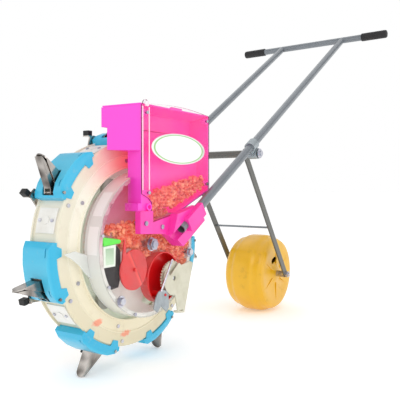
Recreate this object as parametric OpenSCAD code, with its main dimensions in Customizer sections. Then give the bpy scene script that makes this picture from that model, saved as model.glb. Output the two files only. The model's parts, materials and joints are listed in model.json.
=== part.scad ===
/* [Drum] */
// Radius of the tread that carries the bills
drum_r = 221; // [200:1:270]
// Width of the tread
drum_w = 68; // [60:1:84]
// Thickness of the tread
tread_t = 4; // [3:0.5:6]
// Thickness of the side covers
cover_t = 4; // [3:0.5:6]
// Inner radius of the near cover, where the guide rollers run
rail_r = 167; // [163:1:180]
// How far the bill tips stand out of the tread
bill_reach = 79; // [65:1:95]
// Width of a fixed bill
bill_w = 25; // [22:1:28]
// Sheet thickness of the bills
bill_t = 3; // [2:0.5:4]
// Radius of a bill's hinge pin
pin_r = 3; // [2.5:0.5:4]

/* [Seed chamber] */
// Outer radius of the chamber casing
casing_r = 158; // [150:1:160]
// Depth of the chamber between its back plate and its clear disc
chamber_d = 36; // [32:1:44]
// Thickness of the chamber's wall, back plate and clear disc
casing_t = 3; // [2.5:0.5:4]
// Radius of a guide roller
roller_r = 20; // [16:1:24]
// Radius of the red gate disc
gate_r = 43; // [36:1:48]
// Radius of the recess that the adjusting gear sits in
cup_r = 57; // [50:1:60]

/* [Metering drive] */
// Module of the ring gear and its pinion
gear_module = 3; // [2.5:0.1:3]
// Width of the gear teeth
gear_w = 8; // [6:1:9]
// Radius of the metering shaft
shaft_r = 5; // [4:0.5:6]

/* [Axle] */
// Radius of the main axle
axle_r = 8; // [6:0.5:10]

/* [Hopper] */
// Length of the hopper
hopper_l = 256; // [220:1:300]
// Height of the hopper's top above the axle
hopper_top = 296; // [275:1:340]
// How far the hopper's front wall runs forward from its near side to its far side
hopper_slant = 58; // [30:1:70]
// Wall thickness of the hopper
hopper_t = 3; // [2:0.5:4]

/* [Handle] */
// Outer radius of the handle tubes and the crossbar
tube_r = 11; // [9:0.5:13]
// Wall thickness of the tubes
tube_t = 2; // [1.5:0.5:3]
// Length of a handle tube, from its open end to the crossbar
handle_len = 1215; // [1000:5:1460]
// Slope of the handle tubes above level, in degrees
handle_slope = 32; // [28:1:36]
// Distance between the centres of the handle tubes
handle_gap = 244; // [236:1:292]
// Length of the crossbar with its grips
bar_len = 577; // [500:1:690]
// Length of a grip
grip_len = 91; // [76:1:100]
// Radius of a grip
grip_r = 14; // [13:0.5:17]

/* [Fork and press wheel] */
// Distance along the handle tubes from their open ends to the fork clamps
fork_seat = 388; // [340:1:440]
// How far the press wheel trails behind the fork clamps
wheel_trail = 261; // [220:1:310]
// Distance between the insides of the fork legs
fork_gap = 184; // [176:1:190]
// Width of a fork leg
leg_w = 20; // [16:1:24]
// Thickness of a fork leg
leg_t = 5; // [4:0.5:6]
// Outer radius of the press wheel
wheel_r = 121; // [100:1:145]
// Width of the press wheel
wheel_w = 132; // [110:1:150]
// Radius of the press wheel's axle
wheel_axle_r = 6; // [5:0.5:8]

/* [Hidden] */
$fn = 96;

units = 7;
step_a = 360 / units;
run = 0.05;        // running clearance of a pin or shaft, on the radius
seat = 0.1;        // clearance of a fixed piece in its seat
apart = 0.5;       // clearance between pieces that pass each other

// Heights and places along the travel, from the axle
tip_r = drum_r + bill_reach;
half_tip = bill_t / 2;
axle_z = tip_r * cos(step_a / 2) + half_tip * sin(step_a / 2);
slope = [cos(handle_slope), sin(handle_slope)];
mouth = [60, 31];
bar = mouth + handle_len * slope;
tube_bore = handle_len - tube_r - 5;    // the tube is closed just short of the crossbar
front_x = -(tip_r * sin(1.5 * step_a) + half_tip * cos(1.5 * step_a));
back_x = bar[0] + grip_r;
x_off = -(front_x + back_x) / 2;

// Layers across the drum, near side negative
side_y = drum_w / 2;
skin_y = side_y + cover_t;
lip_r = drum_r + 4;
lip_t = 3;
back_y = -skin_y - 6;                   // back face of the chamber
plate_y = back_y - casing_t;            // front face of the back plate
face_y = plate_y - chamber_d;           // back face of the clear disc
disc_y = face_y - casing_t;             // front face of the clear disc

// Metering drive
ring_teeth = 96;
pinion_teeth = 24;
ring_pitch = ring_teeth * gear_module / 2;
pinion_pitch = pinion_teeth * gear_module / 2;
drive_r = ring_pitch - pinion_pitch;
drive_a = -40;
rim_out = ring_pitch + 8;
gear_y = -side_y + 4;                   // near face of the ring gear
gear_web = 2;

// Guide rollers
roller_orbit = rail_r - roller_r - 0.3;
roller_a = [42, 146, 282];
roller_w = 10;
roller_y = back_y + apart;
bolt_r = 5;

// Bills, in a frame where a bill points straight down
pivot = [40, drum_r + 11];
house_r = drum_r + 26;
house_w = 80;
house_t = 2.5;
moving_w = bill_w - 2 * 2 - 2;
lever_y = house_w / 2 + 2;

// Hopper, from the axle
hop_x0 = -53;
hop_x1 = hop_x0 + hopper_l;
hop_y0 = face_y - 19;
hop_y1 = -house_w / 2 - 6;
neck_y = hop_y0 + 36;
belly_y = hop_y1 - 8;
hop_cover_y = hop_y0 - 3;
hop_floor = 117;

// Brackets and handle
tube_y = handle_gap / 2;
arm_y0 = hop_y0 - 6;
arm_y1 = hop_y0 + 8;

// Fork
fork_r = 10;
clamp_at = mouth + fork_seat * slope;
cross = clamp_at + (tube_r + fork_r + 3) * [slope[1], -slope[0]];
cross_z = axle_z + cross[1];
wheel_x = cross[0] + wheel_trail;
leg_y = fork_gap / 2;
leg_run = norm([wheel_trail, cross_z - wheel_r]);
leg_a = atan2(cross_z - wheel_r, wheel_trail);
brace_at = 0.58;

function down(r, a) = [-r * sin(a), -r * cos(a)];
function angle_of(k) = step_a / 2 + (k - 1) * step_a;

module at_axle() translate([x_off, 0, axle_z]) children();
module along_y(y0, y1) translate([0, y1, 0]) rotate([90, 0, 0]) linear_extrude(y1 - y0) children();
module rod_y(r, y0, y1) translate([0, y1, 0]) rotate([90, 0, 0]) cylinder(r = r, h = y1 - y0);
module tube_y_shape(r_out, r_in, y0, y1) difference() {
    rod_y(r_out, y0, y1);
    rod_y(r_in, y0 - 1, y1 + 1);
}
module put(p) translate([p[0], 0, p[1]]) children();
module each_unit() for (k = [1:units]) rotate([0, angle_of(k), 0]) children();
module between_units(a) for (k = [1:units]) rotate([0, angle_of(k) + a, 0]) children();
module revolve(points) rotate([90, 0, 0]) rotate_extrude() polygon([for (p = points) [p[0], -p[1]]]);

// ---------------------------------------------------------------- drum
screw_a = -14.3;
plate_a = 28.3;
outer_screw_r = drum_r - 7;
inner_screw_r = rail_r + 16;
screw_r = 2;

module drum_shell() color("antiquewhite") at_axle() difference() {
    union() {
        tube_y_shape(drum_r, drum_r - tread_t, -side_y, side_y);
        between_units(screw_a) put([0, -outer_screw_r]) rod_y(5, -side_y + 0.3, -side_y + 9.4);
    }
    between_units(screw_a) put([0, -outer_screw_r]) rod_y(screw_r + seat, -side_y - 1, -side_y + 7);
    between_units(plate_a) for (s = [-1, 1]) translate([0, s * (side_y - 17), -drum_r - 1])
        cylinder(r = screw_r + seat, h = 8);
}

module near_cover() color("wheat") at_axle() difference() {
    revolve([[rail_r, -skin_y - 4], [rail_r + lip_t, -skin_y - 4], [rail_r + lip_t, -skin_y],
        [rail_r + 26, -skin_y], [rail_r + 27, -skin_y - 1.5], [rail_r + 30, -skin_y - 1.5],
        [rail_r + 31, -skin_y], [lip_r - 3, -skin_y], [lip_r, -skin_y + 2], [lip_r, -side_y],
        [rail_r + lip_t, -side_y], [rail_r + lip_t, -skin_y + 8], [rail_r, -skin_y + 8]]);
    between_units(screw_a) {
        put([0, -outer_screw_r]) rod_y(screw_r + seat, -skin_y - 1, -side_y + 1);
        rotate([0, 6, 0]) put([0, -inner_screw_r]) rod_y(screw_r + seat, -skin_y - 1, -side_y + 1);
    }
}

module far_disc() color("antiquewhite") at_axle() difference() {
    union() {
        rod_y(lip_r, side_y, skin_y);
        tube_y_shape(lip_r - 30, lip_r - 34, skin_y, skin_y + 2);
        tube_y_shape(60, 56, skin_y, skin_y + 2);
    }
    rod_y(axle_r + 8 + seat, side_y - 1, skin_y + 3);
    for (k = [0:5]) rotate([0, 60 * k, 0]) put([0, hub_screw_r])
        rod_y(screw_r + seat, side_y - 1, skin_y + 1);
}

hub_screw_r = axle_r + 18;
module drum_hub() color("dimgray") at_axle() difference() {
    union() {
        rod_y(axle_r + 8, side_y - 6, skin_y + 14);
        rod_y(axle_r + 26, skin_y, skin_y + 4);
    }
    rod_y(axle_r + run, side_y - 7, skin_y + 15);
    for (k = [0:5]) rotate([0, 60 * k, 0]) put([0, hub_screw_r])
        rod_y(screw_r + seat, skin_y - 1, skin_y + 5);
}

// Half the angle that a tooth of an involute gear covers at radius r
function inv(a) = tan(a) - a * PI / 180;
function half_tooth(teeth, thick, r) =
    let (pitch = teeth * gear_module / 2, base = pitch * cos(20), open = r > base ? acos(base / r) : 0)
    (thick / (2 * pitch) + inv(20) - inv(open)) * 180 / PI;
function gear_outline(teeth, thick, low, high) = [
    for (k = [0:teeth - 1], side = [-1, 1], j = [0:2])
        let (r = side < 0 ? low + (high - low) * j / 2 : high - (high - low) * j / 2)
        down(r, 360 * k / teeth + side * half_tooth(teeth, thick, r))];
tooth_thick = gear_module * PI / 2;
backlash = 0.35;

module ring_gear() color("silver") at_axle() difference() {
    union() {
        rod_y(rim_out, gear_y, gear_y + gear_w);
        rod_y(drum_r - tread_t - seat, gear_y + gear_w - gear_web, gear_y + gear_w);
        between_units(screw_a + 6) put([0, -inner_screw_r]) rod_y(5, -side_y, gear_y + gear_w);
    }
    rotate([0, drive_a, 0]) along_y(gear_y - 1, gear_y + gear_w + 1)
        polygon(gear_outline(ring_teeth, tooth_thick + backlash,
            ring_pitch - 0.8 * gear_module, ring_pitch + 1.1 * gear_module));
    between_units(screw_a + 6) put([0, -inner_screw_r]) rod_y(screw_r + seat, -side_y - 1, gear_y + 2);
    each_unit() put([0, -(rim_out + drum_r - tread_t) / 2]) rod_y(20, gear_y - 10, gear_y + gear_w + 1);
}

// The housing of one bill, closed towards the soil but for the mouth that the bill fills
module housing_outline(in) polygon([down(drum_r - 20, 17.5 - in / 4), down(house_r - 12 - in, 17.5 - in / 4),
    down(house_r - 4 - in, 14 - in / 5), down(house_r - 0.5 - in, 7), down(house_r - in, 0),
    down(house_r - 1 - in, -6), down(house_r - 6 - in, -10.5 + in / 5),
    down(house_r - 13 - in, -12.5 + in / 4),
    down(drum_r - 20, -12.5 + in / 4)]);

module bill_housing() difference() {
    union() {
        intersection() {
            along_y(-house_w / 2, house_w / 2) housing_outline(0);
            revolve([[drum_r + 0.3, -side_y + 0.5], [lip_r + apart, -side_y + 0.5],
                [lip_r + apart, -house_w / 2], [house_r - 13, -house_w / 2], [house_r + 6, -house_w / 2 + 9],
                [house_r + 6, house_w / 2 - 9], [house_r - 13, house_w / 2], [lip_r + apart, house_w / 2],
                [lip_r + apart, side_y - 0.5], [drum_r + 0.3, side_y - 0.5]]);
        }
        for (a = [-11.5, 9.5]) along_y(-house_w / 2, -skin_y - 0.3)
            polygon([down(lip_r - 12, a + 1), down(lip_r - 12, a + 5), down(lip_r + 3, a + 6.5),
                down(lip_r + 3, a)]);
    }
    along_y(-side_y + 3.5, side_y - 3.5) housing_outline(house_t);
    translate([-4.5, -16, -house_r - 5]) cube([52, 32, 40]);
    put([pivot[0], -pivot[1]]) rod_y(pin_r + run, -house_w, house_w);
    translate([-62, -side_y + 4, -house_r - 5]) cube([17, 2.5, 20]);
    translate([18, -side_y + 4, -house_r - 5]) cube([14, 2.5, 20]);
}
module bill_housings() color("deepskyblue") at_axle() each_unit() bill_housing();

// A fixed bill: a web with a round tip, two side walls and a foot under the housing's skin
module fixed_bill() {
    wall = [[half_tip - 0.5, drum_r + 9], [26, drum_r + 11], [22, drum_r + 24],
        [half_tip + 1, tip_r - 16], [half_tip - 0.5, tip_r - 16]];
    rotate([0, 90, 0]) linear_extrude(bill_t, center = true) {
        translate([drum_r + 5, -bill_w / 2]) square([bill_reach - 5 - bill_w / 2, bill_w]);
        translate([tip_r - bill_w / 2, 0]) circle(r = bill_w / 2);
    }
    for (s = [-1, 1]) translate([0, s * (bill_w / 2 - 1), 0]) along_y(-1, 1)
        polygon([for (p = wall) [p[0], -p[1]]]);
    translate([-13, -bill_w / 2, -house_r + house_t + 1.3]) cube([13, bill_w, 2.5]);
}
module fixed_bills() color("darkslategray") at_axle() each_unit() fixed_bill();

module tread_plates() color("aliceblue") at_axle() between_units(plate_a) difference() {
    union() {
        intersection() {
            tube_y_shape(drum_r + 2.5, drum_r + 0.05, -side_y + 8, side_y - 8);
            along_y(-side_y, side_y) polygon([[0, 0], down(drum_r + 9, 6.5), down(drum_r + 9, -6.5)]);
        }
        translate([0, 0, -drum_r - 4]) cylinder(r = 8, h = 2.5);
    }
    for (s = [-1, 1]) translate([0, s * (side_y - 17), -drum_r - 9]) cylinder(r = screw_r + seat, h = 10);
}

module screw_y(y) {
    rod_y(4, y - 2.5, y);
    rod_y(screw_r, y, y + 8);
}
module drum_screws() color("silver") at_axle() {
    between_units(screw_a) put([0, -outer_screw_r]) screw_y(-skin_y);
    between_units(screw_a + 6) put([0, -inner_screw_r]) screw_y(-skin_y);
    between_units(plate_a) for (s = [-1, 1]) translate([0, s * (side_y - 17), -drum_r - 5]) {
        cylinder(r = 3.5, h = 2.4);
        cylinder(r = screw_r, h = 9);
    }
    for (k = [0:5]) rotate([0, 60 * k, 0]) put([0, hub_screw_r]) {
        rod_y(4, skin_y + 4, skin_y + 6.5);
        rod_y(screw_r, side_y + 1, skin_y + 4);
    }
}

// A moving bill: a channel that closes the fixed one, its hinge pin, and a lever on the far side
module flat(y0, y1, points) along_y(y0, y1) polygon([for (p = points) [p[0], -p[1]]]);
module moving_bill(k) color("gray") at_axle() rotate([0, angle_of(k), 0]) {
    heel = [pivot[0] - 2, pivot[1] + 9.5];
    point = [half_tip + 2.7, tip_r - 2.5];
    cheek = [pivot + [-6, -4], pivot + [4, -6], pivot + [6, 3], heel, point,
        [half_tip + 1.1, tip_r - 6], [half_tip + 8.5, drum_r + 41]];
    web = [pivot + [-4.5, 7], heel, point, [half_tip + 0.7, tip_r - 4]];
    arm = [pivot + [-6, -5], pivot + [4, -8], pivot + [17, -32], pivot + [23, -29], pivot + [15, 1],
        pivot + [17, 4], pivot + [4, 7], pivot + [-5, 6]];
    for (s = [-1, 1]) translate([0, s * (moving_w / 2 - 1), 0]) flat(-1, 1, cheek);
    flat(-moving_w / 2, moving_w / 2, web);
    put([pivot[0], -pivot[1]]) rod_y(pin_r, -house_w / 2 - 2, lever_y + 4);
    flat(lever_y, lever_y + 4, arm);
    translate([pivot[0] + 4, lever_y + 3, -pivot[1] - 6.5]) cube([12.5, 18, 2.5]);
}
module bill_pad(k) color("black") at_axle() rotate([0, angle_of(k), 0])
    translate([pivot[0] + 4, lever_y + 4.1, -pivot[1] - 17.9]) cube([12.5, 17, 11.4]);

// ---------------------------------------------------------------- seed chamber
rim_screw_a = 20.6;
rim_screws = [0, 1, 2, 6, 8];
cup_at = [45, -78];
gate_at = cup_at + (gate_r + cup_r + 1.5) * [-cos(16), sin(16)];
cup_d = 20;
brush_y = plate_y - 14;

// The hopper's lower end, which enters the chamber through its wall and its clear disc
foot_x = [-20, 72];
foot_z = [50, 66];
collar_z = 74;
module hopper_way(gap) flat(hop_cover_y - 1, neck_y + gap, [[hop_x0 - 12 - gap, -collar_z + gap],
    [foot_x[0] - gap, -collar_z + gap], [foot_x[0] - gap, -foot_z[0] + gap],
    [foot_x[1] + gap, -foot_z[1] + gap],
    [hop_x1 + gap, -hop_floor + gap], [hop_x1 + gap, -casing_r * 2], [hop_x0 - 12 - gap, -casing_r * 2]]);

module chamber_holes(angles, y0, y1) {
    rod_y(axle_r + seat, y0, y1);
    for (a = angles) rotate([0, a, 0]) put([0, -roller_orbit]) rod_y(bolt_r + seat, y0, y1);
}

module chamber_disc() color([0.9, 0.85, 0.85, 0.35]) at_axle() difference() {
    rod_y(casing_r, disc_y, face_y);
    chamber_holes([roller_a[0], roller_a[2]], disc_y - 1, face_y + 1);
    put(cup_at) rod_y(cup_r + 0.3, disc_y - 1, face_y + 1);
    put(gate_at) rod_y(4 + run, disc_y - 1, face_y + 1);
    for (p = arm_points) put(p) rod_y(screw_r + seat, disc_y - 1, face_y + 1);
    for (k = rim_screws) rotate([0, rim_screw_a + 40 * k, 0]) put([0, -casing_r + 5])
        rod_y(screw_r + seat, disc_y - 1, face_y + 1);
    hopper_way(0.5);
}

module chamber_casing() color("gainsboro") at_axle() difference() {
    union() {
        tube_y_shape(casing_r, casing_r - casing_t, face_y, back_y);
        tube_y_shape(casing_r, casing_r - 10, face_y, face_y + 3);
        rod_y(casing_r, plate_y, back_y);
        rod_y(axle_r + 6, plate_y - 8, back_y);
        put(drive_r * down(1, drive_a)) rod_y(shaft_r + 5, plate_y - 2, back_y);
    }
    chamber_holes(roller_a, face_y - 1, back_y + 1);
    put(drive_r * down(1, drive_a)) rod_y(shaft_r + run, plate_y - 3, back_y + 1);
    for (k = rim_screws) rotate([0, rim_screw_a + 40 * k, 0]) put([0, -casing_r + 5])
        rod_y(screw_r + seat, face_y - 1, face_y + 4);
    hopper_way(0.5);
    // Outlet for the metered seeds, behind the roller
    flat(plate_y - 1, back_y + 1, [[20, 118], [60, 132], [52, 148], [14, 134]]);
}

// A curved tail that keeps stray seeds off the turning cover
module ring_guard() color("whitesmoke") at_axle() along_y(back_y - 8, back_y - 6) polygon(concat(
    [for (a = [68:3:86]) down(casing_r + 0.3, a)],
    [down(casing_r + 32, 90), down(casing_r + 61, 89), down(casing_r + 42, 86), down(casing_r + 24, 81),
    down(casing_r + 12, 74)]));

module guide_roller(k) color("dimgray") at_axle() rotate([0, roller_a[k - 1], 0]) put([0, -roller_orbit])
    tube_y_shape(roller_r, bolt_r + run, roller_y, roller_y + roller_w);

// Two bolts go right through the chamber; the upper one has its head inside, on the back plate
module roller_bolts() color("silver") at_axle() for (i = [0:2])
    rotate([0, roller_a[i], 0]) put([0, -roller_orbit])
    let (y0 = i == 1 ? plate_y : disc_y, r = i == 1 ? 7 : 12) {
        rod_y(bolt_r, y0, roller_y + roller_w + 2.5);
        rod_y(r, y0 - 1.5, y0);
        hex_nut(r * 2 / 3, y0 - 7.5, y0 - 1.5);
        rod_y(9, roller_y + roller_w + apart, roller_y + roller_w + 2.5);
    }

// ---------------------------------------------------------------- metering
shaft_at = drive_r * down(1, drive_a);
gear_out_y = disc_y - 4 - apart;
adjust_r = 40;

module metering_shaft() color("silver") at_axle() put(shaft_at)
    rod_y(shaft_r, gear_out_y - 4, gear_y + gear_w + 2);
module metering_roller() color("firebrick") at_axle() put(shaft_at) difference() {
    rod_y(26, plate_y - 12, plate_y - 3);
    rod_y(shaft_r + seat, plate_y - 13, plate_y);
    for (k = [0:7]) rotate([0, 45 * k, 0]) put([0, -27]) rod_y(5, plate_y - 13, plate_y);
}
module drive_pinion() color("ivory") at_axle() put(shaft_at) difference() {
    rotate([0, drive_a, 0]) along_y(gear_y, gear_y + gear_w)
        polygon(gear_outline(pinion_teeth, tooth_thick - backlash,
        pinion_pitch - 1.1 * gear_module, pinion_pitch + 0.8 * gear_module));
    rod_y(shaft_r + seat, gear_y - 1, gear_y + gear_w + 1);
}
module adjusting_gear() color("tan") at_axle() put(shaft_at) difference() {
    along_y(gear_out_y, gear_out_y + 4) polygon([for (k = [0:35], j = [0:3])
        down(j == 1 || j == 2 ? adjust_r : adjust_r - 4, 10 * k + [-4, -2, 2, 4][j])]);
    rod_y(shaft_r + seat, gear_out_y - 1, gear_out_y + 5);
}

// A plate over the adjusting gear, open over its upper teeth, with a turned-back edge and a foot
module gear_cover() color("darkseagreen") at_axle() difference() {
    union() {
        put(shaft_at) rod_y(adjust_r - 2, gear_out_y - 7, gear_out_y - 4.5);
        flat(gear_out_y - 7, gear_out_y - 4.5, [[shaft_at[0], 60], [132, 50], [140, 60], [118, 118],
            [104, 160],
            [82, 160], [shaft_at[0], 110]]);
        flat(gear_out_y - 7, disc_y - 0.05,
            [[137, 52], [143, 56], [108, 168], [80, 164], [81, 159], [103, 163]]);
    }
    put(shaft_at) rod_y(shaft_r + apart, gear_out_y - 8, gear_out_y);
    put(shaft_at + [16, 32]) rotate([0, -38, 0]) translate([-40, gear_out_y - 8, 0]) cube([80, 5, 40]);
}

module gear_recess() color("red") at_axle() put(cup_at) difference() {
    union() {
        tube_y_shape(cup_r, cup_r - 3, disc_y, face_y + cup_d);
        rod_y(cup_r, face_y + cup_d - 2, face_y + cup_d);
        put(knock_at - cup_at) rod_y(3, knock_y - 4.5, face_y + cup_d);
        put(knock_at - cup_at) rod_y(7, gear_out_y - 3.5, face_y + cup_d);
    }
    put(shaft_at - cup_at) rod_y(shaft_r + 0.3, face_y, face_y + cup_d + 1);
}

module gate_disc() color("crimson") at_axle() put(gate_at) {
    rod_y(gate_r, face_y + apart, face_y + 4);
    flat(face_y + apart, face_y + 7, gate_r / 43 * [[-19, -36], [-14, -39], [26, 33], [20, 36]]);
    flat(face_y + apart, face_y + 4, gate_r / 43 * [[-36, -20], [-24, -34], [-27, -66], [-31, -66]]);
    rod_y(4, disc_y - 2, face_y + 1);
}

module brush_box() color("honeydew") at_axle() flat(face_y + apart, plate_y - 0.05,
    [[-144, -6], [-108, -8], [-110, 36], [-143, 36]]);
module sight_tab() color("lime") at_axle() flat(face_y + apart, plate_y - 8,
    [[-146, -22], [-142, -25], [-94, -17], [-92, -13], [-95, -9], [-143, -7]]);
module brush() color("black") at_axle() flat(face_y + 9, plate_y - 0.05, [[-107, -4], [-96, -4], [-86, 6],
    [-84, 60], [-92, 82], [-112, 84], [-132, 62], [-142, 36.5], [-109, 36.5]]);

// ---------------------------------------------------------------- knocker
knock_at = [30, -114];
knock_y = gear_out_y - 8;
module knocker_lever() color("slategray") at_axle() put(knock_at) difference() {
    union() {
        flat(knock_y - 3, knock_y, [[-24, -10], [-14, -14], [6, -8], [12, 2], [14, 30], [4, 38], [-14, 22],
            [-28, 34], [-40, 24], [-34, 4]]);
        rod_y(7, knock_y, gear_out_y - 4);
    }
    rod_y(3 + run, knock_y - 4, gear_out_y);
}
module knocker_rod() color("white") at_axle() put(knock_at) {
    translate([-19, knock_y - 5.6, 10]) rotate([0, 32, 0]) cylinder(r = 2.5, h = 78);
}

// ---------------------------------------------------------------- hopper
hop_mid = (hop_x0 + hop_x1) / 2;
dome = 9;
foot_rise = 17;    // height of the hopper's left foot over its collar
roll_in = 11;      // how far the rolled edge stands to the left of the foot
left_foot = [[foot_x[0], -collar_z - foot_rise], [foot_x[0] - roll_in, -collar_z - foot_rise - 9],
    [hop_x0, -collar_z - foot_rise - 19]];
roll_r = 8;        // the rolled edge at the foot of the hopper
roll_at = [foot_x[0] - roll_in, collar_z + roll_r];
cover_points = [[-37, 280], [-31, 112], [hop_x1 - 11, 284], [hop_x1 - 11, 132]];
hinge_y = hop_y1 + 5;
hinge_z = hopper_top + 1.8;
belly_z = [200, 246];
slant = hopper_slant / (hop_y1 - hop_y0);

// The hopper seen from above, between two depths and inside walls of thickness in
function front_x_at(y, in) = hop_x0 - slant * (y - hop_y0) + in * norm([1, slant]);
module hopper_plan(y0, y1, in) polygon([[front_x_at(y0, in), y0], [hop_x1 - in, y0], [hop_x1 - in, y1 - in],
    [front_x_at(y1 - in, in), y1 - in]]);
module from_z(z0, z1) translate([0, 0, z0]) linear_extrude(z1 - z0) children();

// The top, the lid and its hinge fall away from the near side
top_tilt = 10;
module tilted() translate([0, hop_y0, hopper_top]) rotate([-top_tilt, 0, 0])
    translate([0, -hop_y0, -hopper_top])
    children();

// Two lugs behind the top, each with a stub that the lid's barrel turns on
module lid_lugs() tilted() for (x = [hop_x0 + 8, hop_x1 - 18]) {
    translate([x, hop_y1 - 3, hopper_top - 12]) cube([10, 12.5, 17.8]);
    translate([x < 0 ? x : hop_x1 - 34, hinge_y, hinge_z]) rotate([0, 90, 0]) cylinder(r = 2, h = 26);
}
module hopper_shell() difference() {
    union() {
        flat(hop_y0, neck_y, [[hop_x0, -hopper_top], [hop_x1, -hopper_top], [hop_x1, -hop_floor],
            [foot_x[1], -foot_z[1]], [foot_x[0], -foot_z[0]], [foot_x[0], -collar_z], [hop_x0, -collar_z]]);
        from_z(belly_z[0], hopper_top) hopper_plan(hop_y0, belly_y, 0);
        from_z(belly_z[1], hopper_top) hopper_plan(belly_y - 8, hop_y1, 0);
        translate([hop_x0 - 9, hop_y0, collar_z]) cube([foot_x[0] - hop_x0 - 1, neck_y - hop_y0, 2 * roll_r]);
        put(roll_at) rod_y(roll_r, hop_cover_y - 2, neck_y);
    }
    tilted() translate([hop_x0 - 100, hop_y0 - 50, hopper_top]) cube([hopper_l + 200, 200, 50]);
    difference() {
        union() {
            flat(hop_y0 - 1, neck_y - hopper_t, [[hop_x0 + hopper_t, -hopper_top - 1],
                [hop_x1 - hopper_t, -hopper_top - 1],
                [hop_x1 - hopper_t, -hop_floor - 0.7 * hopper_t], [foot_x[1], -foot_z[1] - 1.1 * hopper_t],
                [foot_x[1] - hopper_t, -foot_z[1] - 0.7 * hopper_t], [foot_x[1] - hopper_t, -foot_z[0] + 9],
                [foot_x[0] + hopper_t, -foot_z[0] + 9], left_foot[0] + [hopper_t, -0.3 * hopper_t],
                left_foot[1] + [0.9 * hopper_t, -0.7 * hopper_t],
                left_foot[2] + [hopper_t, -0.7 * hopper_t]]);
            from_z(belly_z[0] + hopper_t, hopper_top + 1) hopper_plan(hop_y0 - 1, belly_y, hopper_t);
            from_z(belly_z[1] + hopper_t, hopper_top + 1) hopper_plan(belly_y - 16, hop_y1, hopper_t);
        }
        for (p = cover_points) put(p) rod_y(6, hop_y0, hop_y0 + 12);
        translate([hop_x0, hop_y0, 274]) cube([16, 12, 12]);
        translate([hop_x0, hop_y0, 106]) cube([22, 12, 12]);
        for (z = [278, 126]) translate([hop_x1 - 11, hop_y0, z]) cube([11, 12, 12]);
    }
    for (p = cover_points) put(p) rod_y(screw_r + seat, hop_y0 - 1, hop_y0 + 11);
    put(roll_at) rod_y(roll_r - 3, hop_cover_y - 3, hop_y0 + 14);
}
module hopper_body() color("hotpink") at_axle() {
    hopper_shell();
    difference() {
        lid_lugs();
        from_z(belly_z[1], hopper_top + 40) hopper_plan(hop_y0 - 1, hop_y1, hopper_t);
    }
}

module hopper_cover() color([1, 0.7, 0.85, 0.35]) at_axle() difference() {
    union() {
        flat(hop_cover_y, hop_y0 - 0.05, concat([for (i = [-8:8]) [hop_mid + i / 16 * hopper_l,
            -hopper_top - dome * (1 - i * i / 64)]], [[hop_x1, -hop_floor], [foot_x[1], -foot_z[1]],
            [foot_x[0], -foot_z[0]]], left_foot));
        put([hop_x0 + 13, hopper_top + 2]) rod_y(9, hop_cover_y, hop_y0 - 0.05);
        put([hop_x0 + 13, hopper_top + 2]) rod_y(6, hop_cover_y - 4, hop_y0 - 0.05);
        for (x = [0, 21]) translate([hop_x0 + x, hop_cover_y - 1.5, 118]) cube([2.5, 2, hopper_top - 122]);
    }
    for (p = cover_points) put(p) rod_y(screw_r + seat, hop_cover_y - 5, hop_y0);
}

module hopper_lid() color("hotpink") at_axle() tilted() difference() {
    union() {
        from_z(hopper_top + 0.3, hopper_top + 3.3) hopper_plan(hop_y0 + 0.5, hop_y1 - 1, 0);
        translate([hop_x0 + 26, hop_y1 - 2, hopper_top + 0.3]) cube([hopper_l - 52, 7, 3]);
        translate([hop_x0 + 26, hinge_y, hinge_z]) rotate([0, 90, 0]) cylinder(r = 4, h = hopper_l - 52);
        translate([hop_mid - 20, hop_y0 + 0.5, hopper_top + 0.3]) cube([40, 6, 7]);
    }
    translate([hop_x0 - 1, hinge_y, hinge_z]) rotate([0, 90, 0]) cylinder(r = 2 + run, h = hopper_l + 2);
    for (x = [hop_x0 + 7, hop_x1 - 19]) translate([x, hinge_y - 9, hopper_top]) cube([12, 20, 10]);
}

module cover_screws() color("silver") at_axle() {
    for (p = cover_points) put(p) screw_y(hop_cover_y);
    for (k = rim_screws) rotate([0, rim_screw_a + 40 * k, 0]) put([0, -casing_r + 5]) {
        rod_y(3.5, disc_y - 2, disc_y);
        rod_y(screw_r, disc_y - 1, face_y + 2.5);
    }
    for (p = arm_points) put(p) {
        rod_y(5, arm_y0 - 3, arm_y0);
        rod_y(screw_r, arm_y0 - 1, face_y + 2);
        rod_y(5, face_y, face_y + 3);
    }
}

// ---------------------------------------------------------------- handle
arm_points = [[10, 38], [-45, 48]];
block = [[27, -19], [65, 8], [152, -46], [125, -82], [43, -65]];
socket = [16, 84];

module on_tube(s) translate([mouth[0] + s * slope[0], 0, mouth[1] + s * slope[1]])
    rotate([0, 90 - handle_slope, 0]) children();
module side_block(s) difference() {
    union() {
        flat(s < 0 ? -tube_y - 4 : hop_side, s < 0 ? -hop_side : tube_y + 4, block);
        on_tube(socket[0]) translate([-tube_r - 4, s < 0 ? -tube_y - 16 : tube_y + 3, 0])
            cube([2 * tube_r + 10, 13, socket[1] - socket[0]]);
    }
    on_tube(-90) translate([0, s * tube_y, 0]) cylinder(r = tube_r + seat, h = 400);
}
hop_side = -hop_cover_y + apart;

module near_bracket() color("deeppink") at_axle() difference() {
    union() {
        side_block(-1);
        flat(arm_y0, arm_y1, [[hop_x0 - 9, -collar_z + 0.3], [foot_x[0] - 0.4, -collar_z + 0.3],
            [foot_x[0] - 0.4, -foot_z[0] + 0.7], [foot_x[1], -foot_z[1] + 0.7], [78, -38], [65, 8], [27, -19],
            [20, -22], [hop_x0 - 9, -27]]);
        for (p = arm_points) put(p) rod_y(8, arm_y1 - 1, disc_y - 0.05);
    }
    for (p = arm_points) put(p) rod_y(screw_r + seat, arm_y0 - 1, disc_y + 1);
    on_tube(-90) translate([0, -tube_y, 0]) cylinder(r = tube_r + seat, h = 400);
}

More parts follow.
